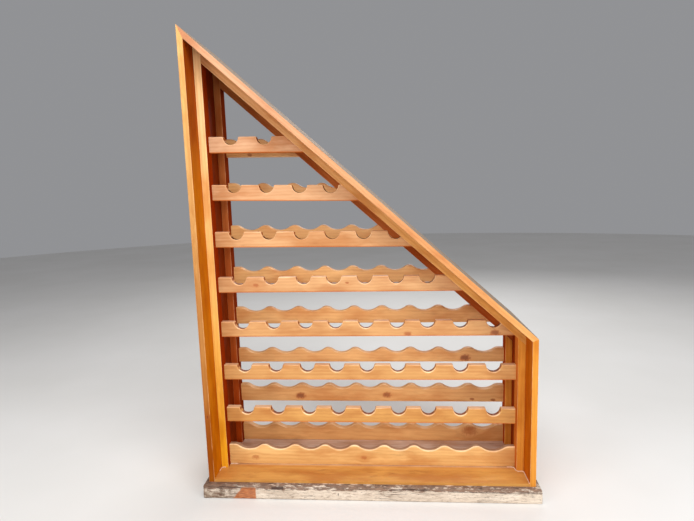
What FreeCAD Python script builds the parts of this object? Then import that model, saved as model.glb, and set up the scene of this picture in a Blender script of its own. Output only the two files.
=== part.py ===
import FreeCAD, Part
import math
import os

os.makedirs("parts", exist_ok=True)

# Sloping wine rack on a plinth board. Millimetres, +Z up, front faces -Y.
# The origin is the middle of the plinth board's underside.

V = FreeCAD.Vector

# ---- driving dimensions -------------------------------------------------
CASE_WIDTH = 1000.0
CASE_DEPTH = 320.0
LEFT_HEIGHT = 1410.0
RIGHT_HEIGHT = 498.0
SIDE_THICK = 17.5
SLOPE_THICK = 18.0
CASE_ARRIS = 1.5
SHOULDER_ROUND = 10.0

PLINTH_THICK = 44.0
PLINTH_END_OVERHANG = 15.0
PLINTH_FRONT_OVERHANG = 20.0
PLINTH_CORNER_ROUND = 9.0
PLINTH_TOP_ROUND = 7.0
PLINTH_BOTTOM_ROUND = 4.0

FLOOR_THICK = 8.0

BATTEN_WIDTH = 22.5
BATTEN_DEPTH = 41.0
BATTEN_ARRIS = 1.5
FRONT_BATTEN_SETBACK = 70.0
REAR_BATTEN_SETBACK = 234.0
REAR_SLOPE_BATTEN_WIDTH = 51.5

RAIL_THICK = 22.0
RAIL_SETBACK = 23.0
RAIL_ARRIS = 3.5
RAIL_END_SPARE = 4.0
NECK_RAIL_HEIGHT = 48.0
NECK_RADIUS = 23.0
NECK_CENTRE_DROP = 1.0
NECK_LIP_ROUND = 4.0
FRONT_ROW_HEIGHTS = (1062.0, 918.0, 773.0, 629.0, 485.5, 343.5, 200.5)
REAR_ROW_HEIGHTS = (1059.0, 914.0, 769.5, 627.0, 483.5, 344.5, 200.0)
ROW_TILTS = (1.5, 1.7, 1.0, 0.4, 0.2, 0.2, 0.2)
BOTTLE_CENTRES = (106.0, 208.0, 310.0, 405.0, 501.0, 598.0, 692.0, 792.0, 893.0)

WAVE_DEPTH = 16.0
WAVE_TROUGH_SHARE = 0.66
WAVE_END_FLAT = 15.0
REAR_RAIL_CRESTS = (60.0, 60.0, 60.0, 58.0, 59.0, 49.0, 62.0, 62.0)
BOTTOM_FRONT_RAIL_CREST = 67.0

BEAD_SIZE = 3.0

# ---- derived positions --------------------------------------------------
FRONT = -CASE_DEPTH / 2.0 + PLINTH_FRONT_OVERHANG / 2.0
BACK = FRONT + CASE_DEPTH
LEFT = -CASE_WIDTH / 2.0
RIGHT = CASE_WIDTH / 2.0
INNER_LEFT = LEFT + SIDE_THICK
INNER_RIGHT = RIGHT - SIDE_THICK
RAIL_LEFT = INNER_LEFT + BATTEN_WIDTH
RAIL_RIGHT = INNER_RIGHT - BATTEN_WIDTH
FLOOR_TOP = PLINTH_THICK + FLOOR_THICK
FALL = (LEFT_HEIGHT - RIGHT_HEIGHT) / CASE_WIDTH
SECANT = math.sqrt(1.0 + FALL * FALL)
FRONT_BATTEN_Y = FRONT + FRONT_BATTEN_SETBACK
REAR_BATTEN_Y = FRONT + REAR_BATTEN_SETBACK
FRONT_RAIL_Y = FRONT_BATTEN_Y + RAIL_SETBACK
REAR_RAIL_Y = REAR_BATTEN_Y + RAIL_SETBACK
SLOPE_FRONT_UNDER = SLOPE_THICK + BATTEN_WIDTH
SLOPE_REAR_UNDER = SLOPE_THICK + REAR_SLOPE_BATTEN_WIDTH


def slope_z(x, below=0.0):
    """Height of the slope plane at x, moved inward by a distance square to it."""
    return LEFT_HEIGHT - FALL * (x - LEFT) - below * SECANT


def box(x0, x1, y0, y1, z0, z1):
    """Axis-aligned box between two corners."""
    return Part.makeBox(x1 - x0, y1 - y0, z1 - z0, V(x0, y0, z0))


def prism(outline, y0, y1):
    """Solid swept along Y from a list of (x, z) corners."""
    points = [V(x, y0, z) for x, z in outline]
    face = Part.Face(Part.makePolygon(points + points[:1]))
    return face.extrude(V(0, y1 - y0, 0))


def below_slope(shape, below):
    """Keep the part of a shape that lies under the slope plane moved inward."""
    x0, x1 = LEFT - 50.0, RIGHT + 50.0
    keep = [(x0, -50.0), (x1, -50.0), (x1, slope_z(x1, below)), (x0, slope_z(x0, below))]
    return shape.common(prism(keep, FRONT - 60.0, BACK + 60.0))


def round_edges(shape, radius, chosen):
    """Round the edges of a shape for which chosen(edge) is true."""
    edges = [edge for edge in shape.Edges if chosen(edge)]
    return shape.makeFillet(radius, edges)


def lies_along(edge, axis):
    """True when an edge is straight and parallel to an axis."""
    if not isinstance(edge.Curve, Part.Line):
        return False
    direction = edge.Curve.Direction
    return abs(getattr(direction, axis)) > 0.999


def in_plane(edge, axis, value):
    """True when every point of an edge has the same given coordinate."""
    bounds = edge.BoundBox
    low = getattr(bounds, axis + "Min")
    high = getattr(bounds, axis + "Max")
    return abs(low - value) < 1e-3 and abs(high - value) < 1e-3


def export(shape, name):
    """Write one named piece as a STEP file."""
    shape = shape.removeSplitter()
    shape.exportStep("parts/%s.step" % name)


# ---- plinth and floor ---------------------------------------------------
def plinth():
    """Thick board under the case with rounded corners and arrises."""
    x = CASE_WIDTH / 2.0 + PLINTH_END_OVERHANG
    y0 = FRONT - PLINTH_FRONT_OVERHANG
    board = box(-x, x, y0, BACK, 0.0, PLINTH_THICK)
    board = round_edges(board, PLINTH_CORNER_ROUND, lambda e: lies_along(e, "z"))
    board = round_edges(board, PLINTH_TOP_ROUND, lambda e: in_plane(e, "Z", PLINTH_THICK))
    return round_edges(board, PLINTH_BOTTOM_ROUND, lambda e: in_plane(e, "Z", 0.0))


def ease_case(board, ends):
    """Ease the front and back arrises of a case board, but not along its cut ends."""
    def chosen(edge):
        faces_open = in_plane(edge, "Y", FRONT) or in_plane(edge, "Y", BACK)
        middle = edge.valueAt((edge.FirstParameter + edge.LastParameter) / 2.0)
        return faces_open and not any(near_line(middle, start, end) for start, end in ends)
    return round_edges(board, CASE_ARRIS, chosen)


def near_line(point, start, end):
    """True when a point's (x, z) lies on the line through two (x, z) points."""
    across = (end[0] - start[0]) * (point.z - start[1]) - (end[1] - start[1]) * (point.x - start[0])
    return abs(across) / math.hypot(end[0] - start[0], end[1] - start[1]) < 1e-3


def beyond(start, end, factor):
    """Point on the line from start through end, at a multiple of their distance."""
    return (start[0] + (end[0] - start[0]) * factor, start[1] + (end[1] - start[1]) * factor)


def case_boards():
    """Left side, sloping top and right side, mitred where they meet."""
    apex = (LEFT, slope_z(LEFT))
    shoulder = (RIGHT, slope_z(RIGHT))
    inner_apex = (INNER_LEFT, slope_z(INNER_LEFT, SLOPE_THICK))
    inner_shoulder = (INNER_RIGHT, slope_z(INNER_RIGHT, SLOPE_THICK))
    foot_left = ((LEFT, PLINTH_THICK), (INNER_LEFT, PLINTH_THICK))
    foot_right = ((RIGHT, PLINTH_THICK), (INNER_RIGHT, PLINTH_THICK))
    left = prism([foot_left[0], apex, inner_apex, foot_left[1]], FRONT, BACK)
    left = ease_case(left, [foot_left, (apex, inner_apex)])
    hood = prism([apex, shoulder, foot_right[0], foot_right[1], inner_shoulder, inner_apex], FRONT, BACK)
    hood = round_edges(hood, SHOULDER_ROUND, lambda e: lies_along(e, "y") and near_line(e.valueAt(0.0), apex, shoulder)
                       and e.BoundBox.XMin > RIGHT - 1.0)
    hood = ease_case(hood, [foot_right, (apex, inner_apex)])
    cut = [beyond(shoulder, inner_shoulder, 3.0), beyond(inner_shoulder, shoulder, 3.0)]
    below = prism([cut[0], cut[1], (RIGHT + 90.0, 0.0), (cut[0][0], 0.0)], FRONT - 5.0, BACK + 5.0)
    return left, hood.cut(below), hood.common(below)


# ---- battens ------------------------------------------------------------
def upright(x0, y0, below):
    """Vertical batten on the floor, its top cut to the slope."""
    post = box(x0, x0 + BATTEN_WIDTH, y0, y0 + BATTEN_DEPTH, FLOOR_TOP, LEFT_HEIGHT)
    post = round_edges(post, BATTEN_ARRIS, lambda e: lies_along(e, "z"))
    return below_slope(post, below)


def slope_batten(y0, width):
    """Batten under the sloping top, from the left upright to the right side."""
    x0, x1 = RAIL_LEFT, INNER_RIGHT
    low = SLOPE_THICK + width
    bar = prism([(x0, slope_z(x0, SLOPE_THICK)), (x1, slope_z(x1, SLOPE_THICK)),
                 (x1, slope_z(x1, low)), (x0, slope_z(x0, low))], y0, y0 + BATTEN_DEPTH)
    return round_edges(bar, BATTEN_ARRIS, lambda e: (in_plane(e, "Y", y0) or in_plane(e, "Y", y0 + BATTEN_DEPTH))
                       and e.Length > CASE_WIDTH / 2.0 and e.BoundBox.ZMax < slope_z(x0, SLOPE_THICK) - 1.0)


# ---- rails --------------------------------------------------------------
def sweep_rail(edges, y0):
    """Rail from a closed outline of edges, its top arrises eased front and back."""
    rail = Part.Face(Part.Wire(Part.__sortEdges__(edges))).extrude(V(0, RAIL_THICK, 0))
    under = rail.BoundBox.ZMin
    return round_edges(rail, RAIL_ARRIS, lambda e: (in_plane(e, "Y", y0) or in_plane(e, "Y", y0 + RAIL_THICK))
                       and e.BoundBox.ZMin > under + RAIL_ARRIS)


def arc(centre, radius, start, end, y):
    """Arc in the XZ plane between two angles, given in degrees from +X."""
    middle = math.radians((start + end) / 2.0)
    ends = [math.radians(start), math.radians(end)]
    points = [V(centre[0] + radius * math.cos(a), y, centre[1] + radius * math.sin(a))
              for a in (ends[0], middle, ends[1])]
    return Part.Arc(*points).toShape()


def closed_below(top_edges, under, y):
    """Close a run of top edges with two ends and a straight underside."""
    first = top_edges[0].Vertexes[0].Point
    last = top_edges[-1].Vertexes[-1].Point
    corners = [V(last.x, y, under), V(first.x, y, under)]
    return top_edges + [Part.makeLine(last, corners[0]), Part.makeLine(corners[0], corners[1]),
                        Part.makeLine(corners[1], first)]


def tilted(rail, under, tilt):
    """Drop a rail's right end about its left foot, then cut both ends upright."""
    rail.rotate(V(RAIL_LEFT, 0, under), V(0, 1, 0), tilt)
    return rail.common(box(RAIL_LEFT, RAIL_RIGHT, FRONT, BACK, 0.0, LEFT_HEIGHT))


def neck_rail(under, y0):
    """Flat-topped rail with a round-lipped half-circle hollow for each bottle neck."""
    top = under + NECK_RAIL_HEIGHT
    hollow_z = top - NECK_CENTRE_DROP
    lip_z = top - NECK_LIP_ROUND
    reach = NECK_RADIUS + NECK_LIP_ROUND
    lip_dx = math.sqrt(reach ** 2 - (hollow_z - lip_z) ** 2)
    tilt = math.degrees(math.asin((hollow_z - lip_z) / reach))
    edges = []
    here = V(RAIL_LEFT - RAIL_END_SPARE, y0, top)
    for centre in BOTTLE_CENTRES:
        x = LEFT + centre
        edges.append(Part.makeLine(here, V(x - lip_dx, y0, top)))
        edges.append(arc((x - lip_dx, lip_z), NECK_LIP_ROUND, 90.0, tilt, y0))
        edges.append(arc((x, hollow_z), NECK_RADIUS, 180.0 + tilt, 360.0 - tilt, y0))
        edges.append(arc((x + lip_dx, lip_z), NECK_LIP_ROUND, 180.0 - tilt, 90.0, y0))
        here = V(x + lip_dx, y0, top)
    edges.append(Part.makeLine(here, V(RAIL_RIGHT + RAIL_END_SPARE, y0, top)))
    return sweep_rail(closed_below(edges, under, y0), y0)


def wave_half(crest_x, trough_x, crest_z, y):
    """Two tangent arcs between a crest and a trough, in the order of rising x."""
    run = abs(trough_x - crest_x)
    total = (run ** 2 + WAVE_DEPTH ** 2) / (2.0 * WAVE_DEPTH)
    trough_radius = total * WAVE_TROUGH_SHARE
    crest_radius = total - trough_radius
    swing = math.degrees(math.asin(run / total))
    crest_centre = (crest_x, crest_z - crest_radius)
    trough_centre = (trough_x, crest_z - WAVE_DEPTH + trough_radius)
    if trough_x > crest_x:
        return [arc(crest_centre, crest_radius, 90.0, 90.0 - swing, y),
                arc(trough_centre, trough_radius, 270.0 - swing, 270.0, y)]
    return [arc(trough_centre, trough_radius, 270.0, 270.0 + swing, y),
            arc(crest_centre, crest_radius, 90.0 + swing, 90.0, y)]


def wave_rail(under, crest, y0):
    """Rail with a wavy top: a shallow hollow for each bottle between rounded crests."""
    top = under + crest
    troughs = [LEFT + centre for centre in BOTTLE_CENTRES]
    crests = [RAIL_LEFT + WAVE_END_FLAT]
    crests += [(a + b) / 2.0 for a, b in zip(troughs, troughs[1:])]
    crests += [RAIL_RIGHT - WAVE_END_FLAT]
    edges = [Part.makeLine(V(RAIL_LEFT - RAIL_END_SPARE, y0, top), V(crests[0], y0, top))]
    for index, trough in enumerate(troughs):
        edges += wave_half(crests[index], trough, top, y0)
        edges += wave_half(crests[index + 1], trough, top, y0)
    edges.append(Part.makeLine(V(crests[-1], y0, top), V(RAIL_RIGHT + RAIL_END_SPARE, y0, top)))
    return sweep_rail(closed_below(edges, under, y0), y0)


# ---- sealing beads ------------------------------------------------------
def bead(start, end, towards_x, towards_y):
    """Three-cornered bead lying in the corner between the floor and a wall."""
    a, b = V(*start), V(*end)
    rise = V(0, 0, BEAD_SIZE)
    out = V(towards_x * BEAD_SIZE, towards_y * BEAD_SIZE, 0)
    face = Part.Face(Part.makePolygon([a, a + out, a + rise, a]))
    return face.extrude(b - a)


def corner_beads():
    """Beads of filler round the feet of the two front uprights."""
    z = FLOOR_TOP
    y_face = FRONT_BATTEN_Y
    y_rail = FRONT_RAIL_Y
    right = [
        bead((INNER_RIGHT, FRONT + 2.0, z), (INNER_RIGHT, y_face, z), -1.0, 0.0),
        bead((RAIL_RIGHT, y_face, z), (INNER_RIGHT, y_face, z), 0.0, -1.0),
        bead((RAIL_RIGHT, y_face, z), (RAIL_RIGHT, y_rail, z), -1.0, 0.0),
        bead((RAIL_RIGHT - 22.0, y_rail, z), (RAIL_RIGHT, y_rail, z), 0.0, -1.0),
    ]
    left = [
        bead((INNER_LEFT, y_face - 22.0, z), (INNER_LEFT, y_face, z), 1.0, 0.0),
        bead((INNER_LEFT, y_face, z), (INNER_LEFT + 14.0, y_face, z), 0.0, -1.0),
    ]
    streak = bead((RAIL_LEFT, y_rail, z), (RAIL_LEFT + 26.0, y_rail, z), 0.0, -1.0)
    solids = [right[0].multiFuse(right[1:]), left[0].fuse(left[1]), streak]
    return Part.makeCompound([solid.removeSplitter() for solid in solids])


# ---- the pieces ---------------------------------------------------------
left_side, sloping_top, right_side = case_boards()
export(plinth(), "plinth_board")
export(box(INNER_LEFT, INNER_RIGHT, FRONT, BACK, PLINTH_THICK, FLOOR_TOP), "floor_panel")
export(left_side, "left_side")
export(sloping_top, "sloping_top")
export(right_side, "right_side")

for place, y, under in (("front", FRONT_BATTEN_Y, SLOPE_FRONT_UNDER), ("rear", REAR_BATTEN_Y, SLOPE_REAR_UNDER)):
    export(upright(INNER_LEFT, y, SLOPE_THICK), place + "_left_upright")
    export(upright(RAIL_RIGHT, y, under), place + "_right_upright")
    export(slope_batten(y, under - SLOPE_THICK), place + "_slope_batten")

for row, (height, tilt) in enumerate(zip(FRONT_ROW_HEIGHTS, ROW_TILTS), start=1):
    front_rail = tilted(neck_rail(height, FRONT_RAIL_Y), height, tilt)
    export(below_slope(front_rail, SLOPE_FRONT_UNDER), "front_rail_%d" % row)
foot_rail = wave_rail(FLOOR_TOP, BOTTOM_FRONT_RAIL_CREST, FRONT_RAIL_Y)
export(tilted(foot_rail, FLOOR_TOP, 0.0), "front_rail_8")

rear_rows = zip(REAR_ROW_HEIGHTS + (FLOOR_TOP,), ROW_TILTS + (0.0,), REAR_RAIL_CRESTS)
for row, (height, tilt, crest) in enumerate(rear_rows, start=1):
    rear_rail = tilted(wave_rail(height, crest, REAR_RAIL_Y), height, tilt)
    export(below_slope(rear_rail, SLOPE_REAR_UNDER), "rear_rail_%d" % row)
export(corner_beads(), "corner_beads")
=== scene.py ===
"""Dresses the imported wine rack: stained pine, a weathered plinth, rails, filler and a plain studio."""
from __future__ import annotations

import logging
import math
from dataclasses import dataclass, field
from enum import Enum
from typing import Any, Iterable, Mapping, Sequence

import bmesh
import bpy
from mathutils import Euler, Matrix, Vector

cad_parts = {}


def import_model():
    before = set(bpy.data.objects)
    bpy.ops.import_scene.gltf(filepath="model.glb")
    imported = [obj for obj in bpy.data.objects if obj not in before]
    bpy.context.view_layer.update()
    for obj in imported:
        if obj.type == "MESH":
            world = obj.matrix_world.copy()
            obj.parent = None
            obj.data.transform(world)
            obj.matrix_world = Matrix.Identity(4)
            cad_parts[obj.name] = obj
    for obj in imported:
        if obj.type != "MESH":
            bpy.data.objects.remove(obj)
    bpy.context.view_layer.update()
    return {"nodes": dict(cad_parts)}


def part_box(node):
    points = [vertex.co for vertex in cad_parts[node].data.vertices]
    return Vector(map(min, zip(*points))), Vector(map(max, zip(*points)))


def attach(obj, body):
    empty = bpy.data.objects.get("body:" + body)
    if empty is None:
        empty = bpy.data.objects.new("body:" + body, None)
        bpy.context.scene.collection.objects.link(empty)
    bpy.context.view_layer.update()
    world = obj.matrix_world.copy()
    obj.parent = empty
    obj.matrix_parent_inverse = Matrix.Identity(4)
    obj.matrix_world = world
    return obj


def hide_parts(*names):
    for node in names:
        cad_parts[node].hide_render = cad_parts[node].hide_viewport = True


LOG = logging.getLogger("wine_rack")
ROOT = "root"
NAME_PREFIX = "wine_rack_"

Colour = tuple[float, float, float]
Feed = float | int | bool | Sequence[float] | bpy.types.NodeSocket


# ---- small tools --------------------------------------------------------
def linear(red: int, green: int, blue: int) -> tuple[float, float, float, float]:
    """Turn a display colour into the linear one that shaders use.

    Args:
        red: Red from 0 to 255.
        green: Green from 0 to 255.
        blue: Blue from 0 to 255.

    Returns:
        Linear red, green and blue, and an alpha of one.
    """
    def channel(value: int) -> float:
        """Undo the display curve of one channel."""
        share = value / 255.0
        return share / 12.92 if share <= 0.04045 else ((share + 0.055) / 1.055) ** 2.4
    return channel(red), channel(green), channel(blue), 1.0


class Tree:
    """Adds and links the nodes of one shader or geometry tree."""

    def __init__(self, tree: bpy.types.NodeTree) -> None:
        """Keep the tree that is being built.

        Args:
            tree: The node tree that the nodes go into.
        """
        self.tree = tree

    def feed(self, socket: bpy.types.NodeSocket, value: Feed) -> None:
        """Link a socket to an input, or set the input's own value.

        Args:
            socket: The input to fill.
            value: An output socket, or a plain value.
        """
        if isinstance(value, bpy.types.NodeSocket):
            self.tree.links.new(value, socket)
        else:
            socket.default_value = value

    def add(self, kind: str, inputs: Mapping[str | int, Feed] | None = None,
            **settings: Any) -> bpy.types.Node:
        """Add a node.

        Args:
            kind: The node's type name.
            inputs: Values or sockets for its inputs, by name or place.
            **settings: Properties of the node itself, such as its operation.

        Returns:
            The new node.
        """
        made = self.tree.nodes.new(kind)
        for name, value in settings.items():
            setattr(made, name, value)
        for key, value in (inputs or {}).items():
            self.feed(made.inputs[key], value)
        return made

    def math(self, operation: str, *values: Feed, clamp: bool = False) -> bpy.types.NodeSocket:
        """Add a Math node and return its result.

        Args:
            operation: The node's operation.
            *values: Its inputs, in order.
            clamp: Whether the result is held between zero and one.

        Returns:
            The result socket.
        """
        return self.add("ShaderNodeMath", dict(enumerate(values)), operation=operation,
                        use_clamp=clamp).outputs[0]

    def vector(self, operation: str, *values: Feed) -> bpy.types.Node:
        """Add a Vector Math node.

        Args:
            operation: The node's operation.
            *values: Its inputs, in order.

        Returns:
            The node, because some operations answer on the second output.
        """
        return self.add("ShaderNodeVectorMath", dict(enumerate(values)), operation=operation)

    def scaled(self, vector: bpy.types.NodeSocket, scale: Sequence[float]) -> bpy.types.NodeSocket:
        """Multiply a vector by a fixed scale.

        Args:
            vector: The vector socket.
            scale: One factor for each axis.

        Returns:
            The scaled vector.
        """
        return self.vector("MULTIPLY", vector, scale).outputs[0]

    def span(self, value: Feed, low: Feed, high: Feed, smooth: bool = True) -> bpy.types.NodeSocket:
        """Map a value from between two limits onto zero to one.

        Args:
            value: The value.
            low: The limit that becomes zero.
            high: The limit that becomes one.
            smooth: Whether the ends are eased.

        Returns:
            The mapped value.
        """
        inputs = {"Value": value, "From Min": low, "From Max": high}
        kind = "SMOOTHSTEP" if smooth else "LINEAR"
        return self.add("ShaderNodeMapRange", inputs, interpolation_type=kind, clamp=True).outputs[0]

    def noise(self, vector: bpy.types.NodeSocket, scale: float, detail: float = 3.0,
              roughness: float = 0.55, colour: bool = False) -> bpy.types.NodeSocket:
        """Add a Noise texture.

        Args:
            vector: Where it is read.
            scale: How many features there are in a metre.
            detail: Octaves.
            roughness: Weight of the finer octaves.
            colour: Whether the three-channel result is wanted.

        Returns:
            The value, or the colour.
        """
        inputs = {"Vector": vector, "Scale": scale, "Detail": detail, "Roughness": roughness}
        return self.add("ShaderNodeTexNoise", inputs).outputs[1 if colour else 0]

    def mix(self, share: Feed, first: Feed, second: Feed, blend: str = "MIX") -> bpy.types.NodeSocket:
        """Mix two colours.

        Args:
            share: How much of the second colour there is.
            first: The first colour.
            second: The second colour.
            blend: The blend mode.

        Returns:
            The mixed colour.
        """
        made = self.add("ShaderNodeMix", data_type="RGBA", blend_type=blend, clamp_factor=True)
        self.feed(made.inputs[0], share)
        self.feed(made.inputs[6], first)
        self.feed(made.inputs[7], second)
        return made.outputs[2]

    def ramp(self, value: bpy.types.NodeSocket,
             stops: Sequence[tuple[float, Sequence[float]]]) -> bpy.types.NodeSocket:
        """Turn a value into a colour along a ramp.

        Args:
            value: The value.
            stops: Places from zero to one, each with its colour.

        Returns:
            The colour.
        """
        made = self.add("ShaderNodeValToRGB", {0: value})
        marks = made.color_ramp.elements
        while len(marks) < len(stops):
            marks.new(0.5)
        for mark, (place, colour) in zip(marks, stops):
            mark.position = place
            mark.color = colour
        return made.outputs[0]


def new_group(name: str, inputs: Mapping[str, tuple[str, Any]], outputs: Mapping[str, str],
              kind: str = "ShaderNodeTree"
              ) -> tuple[bpy.types.NodeTree, Tree, bpy.types.Node, bpy.types.Node]:
    """Start a node group with named inputs and outputs.

    Args:
        name: The group's name.
        inputs: Each input's socket type and default value, or None for no default.
        outputs: Each output's socket type.
        kind: The type of tree.

    Returns:
        The group, its builder, its input node and its output node.
    """
    group = bpy.data.node_groups.new(name, kind)
    for label, (socket_type, default) in inputs.items():
        made = group.interface.new_socket(label, in_out="INPUT", socket_type=socket_type)
        if default is not None:
            made.default_value = default
    for label, socket_type in outputs.items():
        group.interface.new_socket(label, in_out="OUTPUT", socket_type=socket_type)
    tree = Tree(group)
    return group, tree, tree.add("NodeGroupInput"), tree.add("NodeGroupOutput")


# ---- finishes -----------------------------------------------------------
class Grain(Enum):
    """The direction in which a piece's grain runs."""

    ALONG_X = "along x"
    UPRIGHT = "upright"
    DOWN_SLOPE = "down the slope"


@dataclass(frozen=True)
class Knot:
    """A knot or dark mark in a board, placed in the rack's frame in metres."""

    x: float
    z: float
    radius: float = 0.008
    depth: float = 0.8


# The pine's stains, from pale to dark; the darker ones also serve as painted shade on the flanks.
CREAM = linear(246, 204, 146)
STRAW = linear(234, 186, 122)
APRICOT = linear(230, 172, 84)
GOLD = linear(232, 168, 38)
HONEY = linear(218, 170, 106)
ROSY_PINE = linear(210, 165, 130)
TAN = linear(216, 162, 102)
GINGER = linear(224, 158, 72)
DRY_PINE = linear(204, 150, 112)
BISCUIT = linear(202, 150, 100)
AMBER = linear(200, 144, 72)
BRIGHT_ORANGE = linear(222, 145, 58)
ORANGE = linear(212, 140, 55)
SIENNA = linear(206, 118, 50)
NUTMEG = linear(180, 110, 60)
MARMALADE = linear(190, 110, 6)
DEEP_ORANGE = linear(190, 100, 8)
COPPER = linear(176, 90, 44)
CHESTNUT = linear(160, 88, 36)
BURNT_ORANGE = linear(150, 80, 14)
RUST = linear(173, 74, 23)
RUSSET = linear(155, 72, 6)
WALNUT = linear(140, 72, 32)
BRICK = linear(150, 71, 33)
CHERRY = linear(145, 53, 8)
UMBER = linear(130, 50, 17)
MAHOGANY = linear(123, 47, 10)
GARNET = linear(138, 44, 6)

# What lies on the stain or has worn through it, and painted light: sheen, highlights and shade.
# Painted reflection: the pale grey sheen of the floor's varnish behind the foot rail.
FLOOR_SHEEN = linear(205, 186, 172)
# Painted highlight on the rounded arrises and the front rims of the hollows.
ARRIS_HIGHLIGHT = linear(255, 220, 172)
# Painted sheen on the upward lands of the neck rails.
LAND_SHEEN = linear(236, 208, 184)
# Inside the hollows: darker end-grain stain with painted shade; the darker one is for rows near eye level.
HOLLOW_STAIN_AND_SHADE = linear(120, 56, 20)
DARK_LINING_AND_SHADE = linear(78, 34, 14)
# Painted shade along the rails' lower edges and on their undersides.
UNDERSIDE_SHADE = linear(190, 98, 20)
DUSTY_EDGE = linear(150, 112, 86)
GRIME_BROWN = linear(120, 58, 22)
KNOT_RING = linear(172, 92, 44)
KNOT_EYE = linear(112, 54, 28)

BASE_ROUGHNESS = 0.48

# How deep an outer face's own colour reaches, and how near two points count as one.
SKIN = 0.001
WELD = 0.00002


@dataclass(frozen=True)
class PineTone:
    """One stain's colours: on faces high and low on the rack, and painted shade on flanks high, low and far
    back.
    """

    head: Sequence[float]
    foot: Sequence[float]
    shaded_flank_head: Sequence[float]
    shaded_flank_foot: Sequence[float]
    shaded_flank_deep: Sequence[float]


class Stain(Enum):
    """The stains seen on the rack's pieces, each with painted shade for its flanks."""

    FRONT_RAIL = PineTone(ROSY_PINE, AMBER, CHESTNUT, CHESTNUT, WALNUT)
    FOOT_RAIL = PineTone(HONEY, HONEY, CHESTNUT, CHESTNUT, WALNUT)
    REAR_RAIL = PineTone(STRAW, TAN, CHESTNUT, CHESTNUT, WALNUT)
    LEFT_CASE = PineTone(HONEY, BURNT_ORANGE, RUSSET, MARMALADE, MAHOGANY)
    RIGHT_CASE = PineTone(ORANGE, ORANGE, DEEP_ORANGE, DEEP_ORANGE, CHERRY)
    LEFT_UPRIGHT = PineTone(CREAM, GOLD, CHERRY, GARNET, GARNET)
    RIGHT_UPRIGHT = PineTone(ORANGE, ORANGE, SIENNA, SIENNA, SIENNA)
    REAR_LEFT_BATTEN = PineTone(NUTMEG, RUST, UMBER, UMBER, UMBER)
    REAR_RIGHT_BATTEN = PineTone(BRIGHT_ORANGE, BRIGHT_ORANGE, RUST, RUST, RUST)
    HOOD = PineTone(DRY_PINE, GINGER, COPPER, COPPER, BRICK)
    SLOPE_BATTEN = PineTone(BISCUIT, APRICOT, BRICK, BRICK, WALNUT)
    FLOOR = PineTone(AMBER, AMBER, NUTMEG, NUTMEG, NUTMEG)


def knot_group() -> bpy.types.NodeTree:
    """Make the group that adds one knot: a dark eye, and grain that swerves round it.

    Returns:
        The node group.
    """
    group, tree, source, sink = new_group(
        "pine_knot",
        {"Vector": ("NodeSocketVector", None), "Knots": ("NodeSocketFloat", 0.0),
         "Centre": ("NodeSocketVector", None), "Radius": ("NodeSocketFloat", 0.009),
         "Depth": ("NodeSocketFloat", 1.0)},
        {"Vector": "NodeSocketVector", "Knots": "NodeSocketFloat"})
    radius = source.outputs["Radius"]
    apart = tree.vector("SUBTRACT", source.outputs["Vector"], source.outputs["Centre"]).outputs[0]
    flat = tree.scaled(apart, (0.62, 1.0, 1.0))
    wobble = tree.noise(apart, 130.0, 2.0)
    reach = tree.vector("LENGTH", flat).outputs[1]
    ragged = tree.math("MULTIPLY_ADD", tree.math("SUBTRACT", wobble, 0.5),
                       tree.math("MULTIPLY", radius, 0.9), reach)
    eye = tree.math("SUBTRACT", 1.0, tree.span(ragged, tree.math("MULTIPLY", radius, 0.35),
                                               tree.math("MULTIPLY", radius, 1.05)))
    fade = tree.math("POWER", 2.718, tree.math("DIVIDE", tree.math("MULTIPLY", reach, -0.55), radius))
    push = tree.vector("SCALE", tree.vector("NORMALIZE", apart).outputs[0])
    tree.feed(push.inputs["Scale"], tree.math("MULTIPLY", fade, tree.math("MULTIPLY", radius, 1.1)))
    moved = tree.vector("SUBTRACT", source.outputs["Vector"], push.outputs[0]).outputs[0]
    tree.feed(sink.inputs["Vector"], moved)
    dark = tree.math("MULTIPLY", eye, source.outputs["Depth"])
    tree.feed(sink.inputs["Knots"], tree.math("MAXIMUM", dark, source.outputs["Knots"]))
    return group


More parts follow.
